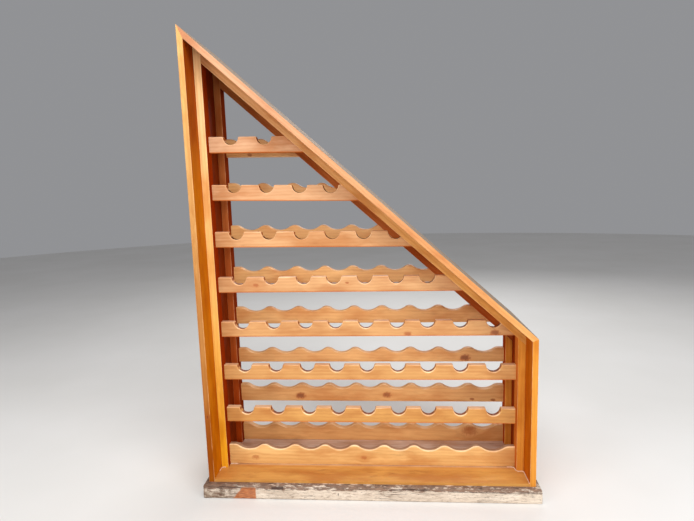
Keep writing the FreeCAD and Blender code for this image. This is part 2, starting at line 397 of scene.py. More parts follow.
def pine_group() -> bpy.types.NodeTree:
    """Make the group that draws stained and varnished pine with its grain along X.

    Returns:
        The node group.
    """
    group, tree, source, sink = new_group(
        "stained_pine",
        {"Vector": ("NodeSocketVector", None), "Knots": ("NodeSocketFloat", 0.0),
         "Tone": ("NodeSocketColor", (1, 1, 1, 1)), "Grime": ("NodeSocketFloat", 0.3)},
        {"Color": "NodeSocketColor", "Roughness": "NodeSocketFloat", "Height": "NodeSocketFloat"})
    place, tone = source.outputs["Vector"], source.outputs["Tone"]
    drift = tree.noise(tree.scaled(place, (0.9, 5.0, 5.0)), 1.0, 3.0, colour=True)
    drift = tree.vector("SUBTRACT", drift, (0.5, 0.5, 0.5)).outputs[0]
    bent = tree.vector("ADD", place, tree.scaled(drift, (0.0, 0.036, 0.036))).outputs[0]
    lean = tree.add("ShaderNodeCombineXYZ", {"X": 0.0, "Y": tree.math(
        "MULTIPLY", tree.add("ShaderNodeSeparateXYZ", {0: place}).outputs[0], 0.035), "Z": 0.0}).outputs[0]
    rings_at = tree.vector("ADD", bent, lean).outputs[0]
    rings = tree.add("ShaderNodeTexWave", {"Vector": rings_at, "Scale": 30.0, "Distortion": 2.2,
                                           "Detail": 3.0, "Detail Scale": 1.1, "Detail Roughness": 0.6},
                     wave_type="RINGS", rings_direction="X", wave_profile="SIN").outputs["Fac"]
    late = tree.span(rings, 0.35, 0.98)
    streak = tree.span(tree.noise(tree.scaled(place, (3.0, 80.0, 80.0)), 1.0, 4.0, 0.6), 0.40, 0.74)
    fibre = tree.noise(tree.scaled(place, (14.0, 620.0, 620.0)), 1.0, 2.0, 0.6)
    cloud = tree.noise(tree.scaled(place, (6.0, 15.0, 15.0)), 1.0, 3.0, 0.5)
    bloom = tree.noise(tree.scaled(place, (9.0, 34.0, 34.0)), 1.0, 3.0, 0.55)
    dirt = tree.span(tree.noise(tree.scaled(place, (8.0, 30.0, 30.0)), 1.0, 5.0, 0.68), 0.56, 0.80)
    pale = tree.mix(1.0, tone, (1.10, 1.12, 1.14, 1.0), "MULTIPLY")
    bright = tree.mix(1.0, tone, (1.26, 1.34, 1.44, 1.0), "MULTIPLY")
    deep = tree.mix(1.0, tone, linear(222, 184, 148), "MULTIPLY")
    body = tree.mix(tree.math("MULTIPLY_ADD", streak, 0.34, 0.04), pale, deep)
    body = tree.mix(tree.math("MULTIPLY", late, 0.20), body, deep)
    body = tree.mix(tree.math("MULTIPLY", tree.span(cloud, 0.44, 0.68), 0.62), body, deep)
    body = tree.mix(tree.math("MULTIPLY", tree.span(bloom, 0.52, 0.74), 0.55), body, bright)
    body = tree.mix(tree.math("MULTIPLY", tree.span(fibre, 0.56, 0.72), 0.20), body, deep)
    dirt_share = tree.math("MULTIPLY", dirt, source.outputs["Grime"])
    body = tree.mix(dirt_share, body, GRIME_BROWN, "DARKEN")
    body = tree.mix(tree.math("MULTIPLY", tree.span(source.outputs["Knots"], 0.0, 0.55), 0.7), body,
                    KNOT_RING)
    body = tree.mix(tree.span(source.outputs["Knots"], 0.42, 1.0), body, KNOT_EYE)
    tree.feed(sink.inputs["Color"], body)
    rough = tree.math("MULTIPLY_ADD", tree.math("SUBTRACT", cloud, 0.5), 0.30, BASE_ROUGHNESS)
    tree.feed(sink.inputs["Roughness"], tree.math("MULTIPLY_ADD", dirt_share, 0.25, rough, clamp=True))
    height = tree.math("MULTIPLY_ADD", fibre, 0.35, tree.math("MULTIPLY", late, -0.35))
    tree.feed(sink.inputs["Height"], tree.math("MULTIPLY_ADD", source.outputs["Knots"], -0.5, height))
    return group


def shared_group(name: str, maker: Any) -> bpy.types.NodeTree:
    """Return a node group, making it the first time.

    Args:
        name: The group's name.
        maker: The function that makes it.

    Returns:
        The node group.
    """
    return bpy.data.node_groups.get(name) or maker()


def start_material(name: str) -> tuple[bpy.types.Material, Tree, bpy.types.Node]:
    """Make an empty material with a shader and an output.

    Args:
        name: What the material is, without the rack's prefix.

    Returns:
        The material, its builder and its Principled shader.
    """
    material = bpy.data.materials.new(NAME_PREFIX + name)
    material.use_nodes = True
    material.node_tree.nodes.clear()
    tree = Tree(material.node_tree)
    shader = tree.add("ShaderNodeBsdfPrincipled")
    tree.add("ShaderNodeOutputMaterial", {"Surface": shader.outputs[0]})
    return material, tree, shader


@dataclass(frozen=True)
class VarnishedPine:
    """Orange-stained pine under a worn satin varnish, with painted shade, painted highlights and painted
    sheen.
    """

    stain: Stain
    grain: Grain
    slope_angle: float
    coat: float = 0.08
    gloss: float = 0.32
    grime: float = 0.30
    weathered_above: float | None = None
    hollows_below: float | None = None
    hollow_face: float = 0.0
    lining: Sequence[float] = HOLLOW_STAIN_AND_SHADE
    # Painted highlight: depth of the pale rim at the front of each hollow.
    rim_highlight_depth: float = 0.004
    # Painted shade along the foot of the rail: its right end, the underside's height there and its slope.
    amber_foot: tuple[float, float, float] | None = None
    # Share of the painted sheen on the lands.
    pale_lands: float = 0.0
    outer_face: float | None = None
    # Painted reflection on the floor behind the foot rail, fading in over this distance.
    dusty_behind: float | None = None
    sheen_fade: float = 0.012
    foot_height: float = 0.15
    head_height: float = 1.20
    # Painted shade on the flanks: their colour runs from foot to head between the first two heights, and
    # darkens towards the back between the two depths.
    shaded_flank_foot_height: float = 0.85
    shaded_flank_head_height: float = 1.25
    deep_shade_from: float = -0.060
    deep_shade_to: float = 0.000
    # Share of the painted arris highlight.
    arris_highlight_share: float = 0.55
    lining_share: float = 0.92
    lip_height: float = 0.014
    lip_fade: float = 0.005
    foot_shade_width: float = 0.0020
    foot_shade_share: float = 0.75

    def turn(self) -> Euler:
        """Return the turn that lays the grain along X."""
        angle = {Grain.ALONG_X: 0.0, Grain.UPRIGHT: math.pi / 2.0,
                 Grain.DOWN_SLOPE: -self.slope_angle}[self.grain]
        return Euler((0.0, angle, 0.0))

    def tone(self, tree: Tree, here: bpy.types.NodeSocket) -> bpy.types.NodeSocket:
        """Mix the stain's colours by height, paint shade by facing and by depth, and add painted highlights
        and sheen.

        Args:
            tree: The material's builder.
            here: Object coordinates.

        Returns:
            The stain's colour at each point, with its painted light and shade.
        """
        tones = self.stain.value
        x, depth, height = tree.add("ShaderNodeSeparateXYZ", {0: here}).outputs[:3]
        facing = tree.add("ShaderNodeNewGeometry").outputs["Normal"]
        side, front, up = tree.add("ShaderNodeSeparateXYZ", {0: facing}).outputs[:3]
        # Partly painted light: the change from foot to head copies a warm bounce low down and cooler light
        # from above, besides the stain's own change.
        colour = tree.mix(tree.span(height, self.foot_height, self.head_height, smooth=False),
                          tones.foot, tones.head)
        # Painted shade: faces turned sideways take the darker flank colours, darkest far back.
        behind = tree.span(depth, self.deep_shade_from, self.deep_shade_to)
        rise = tree.span(height, self.shaded_flank_foot_height, self.shaded_flank_head_height)
        shaded_flank = tree.mix(behind, tree.mix(rise, tones.shaded_flank_foot, tones.shaded_flank_head), tones.shaded_flank_deep)
        # Outer faces of the case get a colour half way between the head tone and the shaded flank.
        if self.outer_face is not None:
            outside = tree.span(tree.math("ABSOLUTE", x), self.outer_face - 3.0 * SKIN,
                                self.outer_face - SKIN)
            shaded_flank = tree.mix(outside, shaded_flank, tree.mix(0.5, tones.head, tones.shaded_flank_foot))
        colour = tree.mix(tree.span(tree.math("ABSOLUTE", side), 0.86, 0.97), colour, shaded_flank)
        # Painted reflection: the floor behind the foot rail turns pale grey with sheen.
        if self.dusty_behind is not None:
            dusty = tree.span(depth, self.dusty_behind - self.sheen_fade, self.dusty_behind + self.sheen_fade)
            colour = tree.mix(tree.math("MULTIPLY", dusty, 0.9), colour, FLOOR_SHEEN)
        # Painted highlight: patches of pale colour where rounded arrises meet the front face.
        square = tree.math("MULTIPLY", front, front)
        arris = tree.math("MULTIPLY", tree.math("MULTIPLY", square, tree.math("SUBTRACT", 1.0, square)), 4.0)
        worn = tree.span(tree.noise(here, 30.0, 3.0), 0.30, 0.62)
        worn = tree.math("MULTIPLY", worn, tree.span(arris, 0.35, 0.90))
        colour = tree.mix(tree.math("MULTIPLY", worn, self.arris_highlight_share), colour, ARRIS_HIGHLIGHT)
        # Hollows: a painted highlight at the front rim, then the lining colour further in (stain with painted
        # shade on the neck rails).
        if self.hollows_below is not None:
            lip = self.hollows_below - self.lip_height
            below = tree.span(height, lip, lip - self.lip_fade)
            inside = tree.span(tree.math("ABSOLUTE", front), 0.75, 0.55)
            upward = tree.span(up, -0.20, 0.05)
            inside = tree.math("MULTIPLY", tree.math("MULTIPLY", inside, upward), below)
            deep = tree.span(depth, self.hollow_face + self.rim_highlight_depth,
                             self.hollow_face + 2.0 * self.rim_highlight_depth)
            lining = tree.mix(deep, ARRIS_HIGHLIGHT, self.lining)
            # Painted sheen: upward lands above the hollows turn paler.
            lands = tree.math("MULTIPLY", tree.span(up, 0.85, 0.97), tree.math("SUBTRACT", 1.0, below))
            colour = tree.mix(tree.math("MULTIPLY", lands, self.pale_lands), colour, LAND_SHEEN)
            colour = tree.mix(tree.math("MULTIPLY", inside, self.lining_share), colour, lining)
        # Painted shade: a dark amber line along the rail's lower edge and on faces turned down.
        if self.amber_foot is not None:
            end, foot, rise = self.amber_foot
            line = tree.math("MULTIPLY_ADD", tree.math("SUBTRACT", end, x), rise, foot)
            edge = tree.span(tree.math("SUBTRACT", height, line), 1.7 * self.foot_shade_width, self.foot_shade_width)
            edge = tree.math("MAXIMUM", tree.math("MULTIPLY", edge, self.foot_shade_share),
                             tree.span(up, -0.25, -0.60))
            colour = tree.mix(edge, colour, UNDERSIDE_SHADE)
        return colour

    def material(self, name: str, seed: int, knots: Iterable[Knot] = (),
                 face_y: float = 0.0) -> bpy.types.Material:
        """Make the material for one piece.

        Args:
            name: The piece's name.
            seed: Moves the grain, so that no two boards match.
            knots: Knots in this piece.
            face_y: Depth of the face that the knots show on, in metres.

        Returns:
            The material.
        """
        material, tree, shader = start_material(name)
        shift = Vector((0.731 * seed % 3.0, 0.055 + 0.013 * (seed * 7 % 5), 0.048 + 0.017 * (seed * 5 % 7)))
        turn = self.turn()
        here = tree.add("ShaderNodeTexCoord").outputs["Object"]
        place = tree.add("ShaderNodeMapping", {"Vector": here, "Location": shift,
                                               "Rotation": turn}).outputs[0]
        eyes: Feed = 0.0
        for knot in knots:
            centre = turn.to_matrix() @ Vector((knot.x, face_y, knot.z)) + shift
            made = tree.add("ShaderNodeGroup", node_tree=shared_group("pine_knot", knot_group))
            for label, value in (("Vector", place), ("Knots", eyes), ("Centre", centre),
                                 ("Radius", knot.radius), ("Depth", knot.depth)):
                tree.feed(made.inputs[label], value)
            place, eyes = made.outputs["Vector"], made.outputs["Knots"]
        pine = tree.add("ShaderNodeGroup", node_tree=shared_group("stained_pine", pine_group))
        for label, value in (("Vector", place), ("Knots", eyes), ("Tone", self.tone(tree, here)),
                             ("Grime", self.grime)):
            tree.feed(pine.inputs[label], value)
        colour, rough, height = (pine.outputs[label] for label in ("Color", "Roughness", "Height"))
        if self.weathered_above is not None:
            colour, rough = self.weather(tree, here, place, colour, rough)
        tree.feed(shader.inputs["Base Color"], colour)
        tree.feed(shader.inputs["Roughness"], rough)
        shader.inputs["Specular IOR Level"].default_value = self.gloss
        shader.inputs["Coat Weight"].default_value = self.coat
        shader.inputs["Coat Roughness"].default_value = 0.28
        bump = tree.add("ShaderNodeBump", {"Strength": 0.35, "Distance": 0.0006, "Height": height})
        tree.feed(shader.inputs["Normal"], bump.outputs[0])
        return material

    def weather(self, tree: Tree, here: bpy.types.NodeSocket, place: bpy.types.NodeSocket,
                colour: bpy.types.NodeSocket, rough: bpy.types.NodeSocket) -> tuple[Any, Any]:
        """Turn the outer face grey, where the varnish has gone.

        Args:
            tree: The material's builder.
            here: Object coordinates.
            place: Coordinates along the grain.
            colour: The pine's colour.
            rough: The pine's roughness.

        Returns:
            The new colour and roughness.
        """
        turned = tree.add("ShaderNodeMapping", {"Vector": here, "Rotation": self.turn()}).outputs[0]
        outward = tree.add("ShaderNodeSeparateXYZ", {0: turned}).outputs[2]
        outer = tree.span(outward, self.weathered_above - 1.6 * SKIN, self.weathered_above - 0.6 * SKIN)
        lines = tree.noise(tree.scaled(place, (4.0, 190.0, 190.0)), 1.0, 4.0, 0.60)
        grey = tree.ramp(lines, [(0.28, linear(104, 86, 70)), (0.52, linear(138, 119, 100)),
                                 (0.76, linear(176, 159, 140))])
        patch = tree.span(tree.noise(tree.scaled(place, (8.0, 20.0, 20.0)), 1.0, 4.0), 0.30, 0.60)
        share = tree.math("MULTIPLY", outer, tree.math("MULTIPLY_ADD", patch, 0.10, 0.90))
        return tree.mix(share, colour, grey), tree.math("MULTIPLY_ADD", share, 0.35, rough, clamp=True)


@dataclass(frozen=True)
class Crack:
    """A dark line in the paint, in the rack's frame in metres."""

    start: float
    end: float
    z: float
    width: float = 0.0012


@dataclass(frozen=True)
class FlakingPaint:
    """Off-white paint that has cracked and flaked off grey-brown wood."""

    front: float
    left: float
    top: float
    stain_foot: tuple[float, float] = (0.091, 0.169)
    stain_head: float = 0.123
    cracks: Sequence[Crack] = (Crack(-0.500, -0.392, 0.0385, 0.0018), Crack(-0.300, -0.258, 0.0370, 0.0060),
                               Crack(-0.095, -0.088, 0.0200, 0.0060), Crack(0.060, 0.180, 0.0385, 0.0016),
                               Crack(0.235, 0.520, 0.0340, 0.0010))

    def material(self, name: str) -> bpy.types.Material:
        """Make the plinth's material.

        Args:
            name: The piece's name.

        Returns:
            The material.
        """
        material, tree, shader = start_material(name)
        here = tree.add("ShaderNodeTexCoord").outputs["Object"]
        x, _, z = tree.add("ShaderNodeSeparateXYZ", {0: here}).outputs[:3]
        drift = tree.noise(tree.scaled(here, (9.0, 14.0, 30.0)), 1.0, 3.0, colour=True)
        bent = tree.vector("ADD", here, tree.scaled(drift, (0.016, 0.006, 0.005))).outputs[0]
        near_top = tree.span(z, self.top - 0.017, self.top - 0.005)
        near_left = tree.span(x, self.left + 0.22, self.left + 0.03)
        flakes = tree.noise(tree.scaled(bent, (34.0, 90.0, 150.0)), 1.0, 6.0, 0.72)
        level = tree.math("MULTIPLY_ADD", near_top, 0.18, tree.math("MULTIPLY_ADD", near_left, 0.07, flakes))
        bare = tree.span(level, 0.60, 0.66)
        seam = tree.noise(tree.scaled(bent, (5.0, 40.0, 150.0)), 1.0, 3.0, 0.55)
        split = tree.math("SUBTRACT", 1.0, tree.span(tree.math("ABSOLUTE", tree.math("SUBTRACT", seam, 0.5)),
                                                     0.003, 0.018))
        split = tree.math("MULTIPLY", split, tree.span(tree.noise(here, 14.0, 2.0), 0.40, 0.62))
        for crack in self.cracks:
            split = tree.math("MAXIMUM", split, self.crack_share(tree, x, z, crack, drift))
        fine = tree.noise(tree.scaled(here, (60.0, 300.0, 420.0)), 1.0, 4.0, 0.6)
        tint = tree.noise(tree.scaled(here, (11.0, 26.0, 70.0)), 1.0, 4.0, 0.6)
        paint = tree.ramp(tint, [(0.32, linear(182, 160, 136)), (0.50, linear(208, 188, 166)),
                                 (0.70, linear(228, 212, 192))])
        paint = tree.mix(tree.math("MULTIPLY", tree.span(fine, 0.50, 0.70), 0.42), paint,
                         linear(150, 122, 96))
        mottle = tree.span(tree.noise(tree.scaled(bent, (46.0, 150.0, 260.0)), 1.0, 5.0, 0.74), 0.53, 0.62)
        paint = tree.mix(0.18, paint, linear(255, 246, 232))
        paint = tree.mix(tree.math("MULTIPLY", mottle, 0.70), paint, linear(120, 90, 68))
        soiled = tree.math("MULTIPLY", near_left, tree.span(tree.noise(here, 60.0, 4.0, 0.65), 0.30, 0.62))
        paint = tree.mix(tree.math("MULTIPLY", soiled, 0.92), paint, linear(112, 88, 68))
        wood = tree.ramp(fine, [(0.30, linear(58, 36, 26)), (0.50, linear(106, 72, 52)),
                                (0.72, linear(150, 112, 86))])
        colour = tree.mix(tree.math("MULTIPLY", bare, 0.85), paint, wood)
        colour = tree.mix(self.stain(tree, here), colour, tree.ramp(fine, [
            (0.34, linear(134, 66, 26)), (0.52, linear(178, 96, 36)), (0.68, linear(196, 128, 72))]))
        colour = tree.mix(tree.math("MULTIPLY", split, 0.9), colour, linear(64, 40, 30))
        tree.feed(shader.inputs["Base Color"], colour)
        tree.feed(shader.inputs["Roughness"], tree.math("MULTIPLY_ADD", bare, 0.18, 0.66))
        height = tree.math("MULTIPLY_ADD", bare, -0.8, tree.math("MULTIPLY", fine, 0.35))
        height = tree.math("MULTIPLY_ADD", split, -1.0, height)
        bump = tree.add("ShaderNodeBump", {"Strength": 0.6, "Distance": 0.0009, "Height": height})
        tree.feed(shader.inputs["Normal"], bump.outputs[0])
        return material

    def crack_share(self, tree: Tree, x: bpy.types.NodeSocket, z: bpy.types.NodeSocket, crack: Crack,
                    drift: bpy.types.NodeSocket) -> bpy.types.NodeSocket:
        """Find one crack's own line, with a wandering edge.

        Args:
            tree: The material's builder.
            x: The point's place along the board.
            z: Its height.
            crack: Where the crack runs.
            drift: Noise that bends the line.

        Returns:
            The crack's share.
        """
        wander = tree.math("MULTIPLY_ADD", tree.add("ShaderNodeSeparateXYZ", {0: drift}).outputs[0],
                           0.008, -0.004)
        off = tree.math("ABSOLUTE", tree.math("SUBTRACT", tree.math("ADD", z, wander), crack.z))
        line = tree.span(off, crack.width, crack.width * 0.4)
        inside = tree.math("MULTIPLY", tree.span(x, crack.start, crack.start + 0.004),
                           tree.span(x, crack.end, crack.end - 0.004))
        return tree.math("MULTIPLY", line, inside)

    def stain(self, tree: Tree, here: bpy.types.NodeSocket) -> bpy.types.NodeSocket:
        """Find the patch near the left end where orange stain shows, with a slanting left edge.

        Args:
            tree: The material's builder.
            here: Object coordinates.

        Returns:
            The patch's share.
        """
        x, y, z = tree.add("ShaderNodeSeparateXYZ", {0: here}).outputs[:3]
        foot, right = (self.left + value for value in self.stain_foot)
        lean = (self.stain_head - self.stain_foot[0]) / (self.top - 0.006)
        edge = tree.math("MULTIPLY_ADD", z, lean, foot)
        ragged = tree.math("MULTIPLY_ADD", tree.noise(here, 90.0, 3.0), 0.010, -0.005)
        past_left = tree.span(tree.math("SUBTRACT", tree.math("ADD", x, ragged), edge), 0.0, 0.006)
        before_right = tree.span(x, right, right - 0.003)
        on_front = tree.span(y, self.front + 0.012, self.front + 0.004)
        low = tree.span(z, self.top - 0.003, self.top - 0.010)
        share = tree.math("MULTIPLY", past_left, before_right)
        return tree.math("MULTIPLY", tree.math("MULTIPLY", share, on_front),
                         tree.math("MULTIPLY", low, 0.92))


@dataclass(frozen=True)
class HardFiller:
    """Pale pinkish filler, smeared and matt."""

    colour: Sequence[float] = linear(240, 206, 176)

    def material(self, name: str) -> bpy.types.Material:
        """Make the filler's material.

        Args:
            name: The piece's name.

        Returns:
            The material.
        """
        material, tree, shader = start_material(name)
        here = tree.add("ShaderNodeTexCoord").outputs["Object"]
        lumps = tree.noise(here, 220.0, 4.0, 0.6)
        colour = tree.mix(tree.span(lumps, 0.45, 0.75), self.colour, linear(214, 166, 130))
        tree.feed(shader.inputs["Base Color"], colour)
        tree.feed(shader.inputs["Roughness"], tree.math("MULTIPLY_ADD", lumps, 0.3, 0.5))
        bump = tree.add("ShaderNodeBump", {"Strength": 0.5, "Distance": 0.0008, "Height": lumps})
        tree.feed(shader.inputs["Normal"], bump.outputs[0])
        return material


# ---- the rack's own measures --------------------------------------------
@dataclass(frozen=True)
class RackMeasures:
    """The sizes that several sub-assemblies share, in metres."""

    left: float
    right: float
    front: float
    apex: float
    fall: float = 0.912
    board: float = 0.018
    rear_batten: float = 0.0515

    @classmethod
    def from_frame(cls) -> "RackMeasures":
        """Read the case's box from the frame.

        Returns:
            The shared sizes.
        """
        left_low, left_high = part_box("left_side")
        return cls(left_low.x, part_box("right_side")[1].x, left_low.y, left_high.z)

    @property
    def slope_angle(self) -> float:
        """Fall of the sloping top below level, in radians."""
        return math.atan(self.fall)

    def slope_height(self, below: float) -> float:
        """Height at mid width of the slope plane, moved inward by a distance square to it."""
        return self.apex + self.left * self.fall - below / math.cos(self.slope_angle)


def dress(node: bpy.types.Object, material: bpy.types.Material) -> None:
    """Give a CAD node one material.

    Args:
        node: The node's object.
        material: Its new material.
    """
    node.data.materials.clear()
    node.data.materials.append(material)
    LOG.info("dressed %s", node.name)


# ---- shapes that follow a rule ------------------------------------------
def finish_tree(tree: Tree, shape: bpy.types.NodeSocket, sink: bpy.types.Node,
                source: bpy.types.Node) -> None:
    """End a geometry tree: close seams, realise instances and set the finish.

    Args:
        tree: The tree's builder.
        shape: The finished geometry.
        sink: The group's output node.
        source: The group's input node.
    """
    closed = tree.add("GeometryNodeMergeByDistance", {"Geometry": shape, "Distance": WELD}).outputs[0]
    real = tree.add("GeometryNodeRealizeInstances", {"Geometry": closed}).outputs[0]
    finished = tree.add("GeometryNodeSetMaterial", {"Geometry": real,
                                                    "Material": source.outputs["Finish"]})
    tree.feed(sink.inputs["Mesh"], finished.outputs[0])


def bake(name: str, group: bpy.types.NodeTree, values: Mapping[str, Any],
         path: Sequence[Sequence[Vector]] = (), sharp: float = math.radians(35.0)) -> bpy.types.Object:
    """Run a geometry tree once and keep its result as a plain mesh.

    Args:
        name: The new piece's name.
        group: The geometry tree.
        values: A value for each named input.
        path: Lines of points that the tree follows, where it follows any.
        sharp: The angle past which an edge stays sharp, in radians.

    Returns:
        The piece, at the origin, with no modifier left on it.
    """
    carrier = bpy.data.meshes.new(name + "_path")
    points: list[Vector] = []
    edges: list[tuple[int, int]] = []
    for line in path:
        edges += [(len(points) + step, len(points) + step + 1) for step in range(len(line) - 1)]
        points += line
    carrier.from_pydata(points, edges, [])
    piece = bpy.data.objects.new(name, carrier)
    bpy.context.scene.collection.objects.link(piece)
    modifier = piece.modifiers.new("shape", "NODES")
    modifier.node_group = group
    for item in group.interface.items_tree:
        if item.in_out == "INPUT" and item.name in values:
            modifier[item.identifier] = values[item.name]
    depsgraph = bpy.context.evaluated_depsgraph_get()
    mesh = bpy.data.meshes.new_from_object(piece.evaluated_get(depsgraph), depsgraph=depsgraph)
    piece.modifiers.clear()
    piece.data = mesh
    bpy.data.meshes.remove(carrier)
    shape = bmesh.new()
    shape.from_mesh(mesh)
    bmesh.ops.remove_doubles(shape, verts=shape.verts, dist=WELD)
    bmesh.ops.recalc_face_normals(shape, faces=shape.faces)
    shape.to_mesh(mesh)
    shape.free()
    mesh.name = name
    mesh.shade_smooth()
    mesh.set_sharp_from_angle(angle=sharp)
    LOG.info("made %s with %d faces", name, len(mesh.polygons))
    return piece


BOTTLES = 9


def pick_bottle(tree: Tree, index: bpy.types.NodeSocket, middles: Sequence[bpy.types.NodeSocket]) -> Any:
    """Pick one bottle's place by its number.

    Args:
        tree: The tree's builder.
        index: The bottle's number, from zero.
        middles: The places to pick from.

    Returns:
        The place.
    """
    switch = tree.add("GeometryNodeIndexSwitch", data_type="FLOAT")
    while len(switch.index_switch_items) < len(middles):
        switch.index_switch_items.new()
    tree.feed(switch.inputs[0], index)
    for number, middle in enumerate(middles, start=1):
        tree.feed(switch.inputs[number], middle)
    return switch.outputs[0]


def wave_drop(tree: Tree, source: bpy.types.Node, x: bpy.types.NodeSocket) -> bpy.types.NodeSocket:
    """Work out how far the rail's top lies below its crests: two tangent arcs for each half wave.

    Args:
        tree: The tree's builder.
        source: The group's input node.
        x: Place along the rail.

    Returns:
        The drop.
    """
    bottles = [source.outputs["Bottle %d" % number] for number in range(1, BOTTLES + 1)]
    first = tree.math("ADD", source.outputs["Left End"], source.outputs["End Flat"])
    last = tree.math("SUBTRACT", source.outputs["Right End"], source.outputs["End Flat"])
    middles = [tree.math("SUBTRACT", tree.math("MULTIPLY", first, 2.0), bottles[0]), *bottles,
               tree.math("SUBTRACT", tree.math("MULTIPLY", last, 2.0), bottles[-1])]
    spots = tree.add("GeometryNodePoints", {"Count": BOTTLES}).outputs[0]
    number = tree.add("GeometryNodeInputIndex").outputs[0]
    spot = tree.add("ShaderNodeCombineXYZ", {"X": pick_bottle(tree, number, bottles)}).outputs[0]
    spots = tree.add("GeometryNodeSetPosition", {"Geometry": spots, "Position": spot}).outputs[0]
    here = tree.add("ShaderNodeCombineXYZ", {"X": x}).outputs[0]
    nearest = tree.add("GeometryNodeSampleNearest", {"Geometry": spots,
                                                     "Sample Position": here}).outputs[0]
    before, own, after = (pick_bottle(tree, tree.math("ADD", nearest, float(step)), middles)
                          for step in range(3))
    is_right = tree.math("GREATER_THAN", x, own)
    other = tree.math("ADD", tree.math("MULTIPLY", is_right, after),
                      tree.math("MULTIPLY", tree.math("SUBTRACT", 1.0, is_right), before))
    run = tree.math("MULTIPLY", tree.math("ABSOLUTE", tree.math("SUBTRACT", other, own)), 0.5)
    off = tree.math("MINIMUM", tree.math("ABSOLUTE", tree.math("SUBTRACT", x, own)), run)
    depth = source.outputs["Hollow Depth"]
    square_depth = tree.math("MULTIPLY", depth, depth)
    total = tree.math("DIVIDE", tree.math("MULTIPLY_ADD", run, run, square_depth),
                      tree.math("MULTIPLY", depth, 2.0))
    trough = tree.math("MULTIPLY", total, source.outputs["Trough Share"])
    crest = tree.math("SUBTRACT", total, trough)
    bowl = tree.math("SUBTRACT", trough, tree.math("SQRT", tree.math(
        "SUBTRACT", tree.math("MULTIPLY", trough, trough), tree.math("MULTIPLY", off, off))))
    bowl = tree.math("SUBTRACT", depth, bowl)
    from_crest = tree.math("SUBTRACT", run, off)
    hill = tree.math("SUBTRACT", crest, tree.math("SQRT", tree.math("MAXIMUM", 0.0, tree.math(
        "SUBTRACT", tree.math("MULTIPLY", crest, crest), tree.math("MULTIPLY", from_crest, from_crest)))))
    in_bowl = tree.math("LESS_THAN", off, tree.math("MULTIPLY", run, source.outputs["Trough Share"]))
    return tree.math("ADD", tree.math("MULTIPLY", in_bowl, bowl),
                     tree.math("MULTIPLY", tree.math("SUBTRACT", 1.0, in_bowl), hill))


def block(tree: Tree, size: bpy.types.NodeSocket, middle: bpy.types.NodeSocket) -> bpy.types.NodeSocket:
    """Add a plain block that a saw cut takes away.

    Args:
        tree: The tree's builder.
        size: The block's size.
        middle: The block's middle.

    Returns:
        The block.
    """
    cube = tree.add("GeometryNodeMeshCube", {"Size": size}).outputs[0]
    return tree.add("GeometryNodeTransform", {"Geometry": cube, "Translation": middle}).outputs[0]


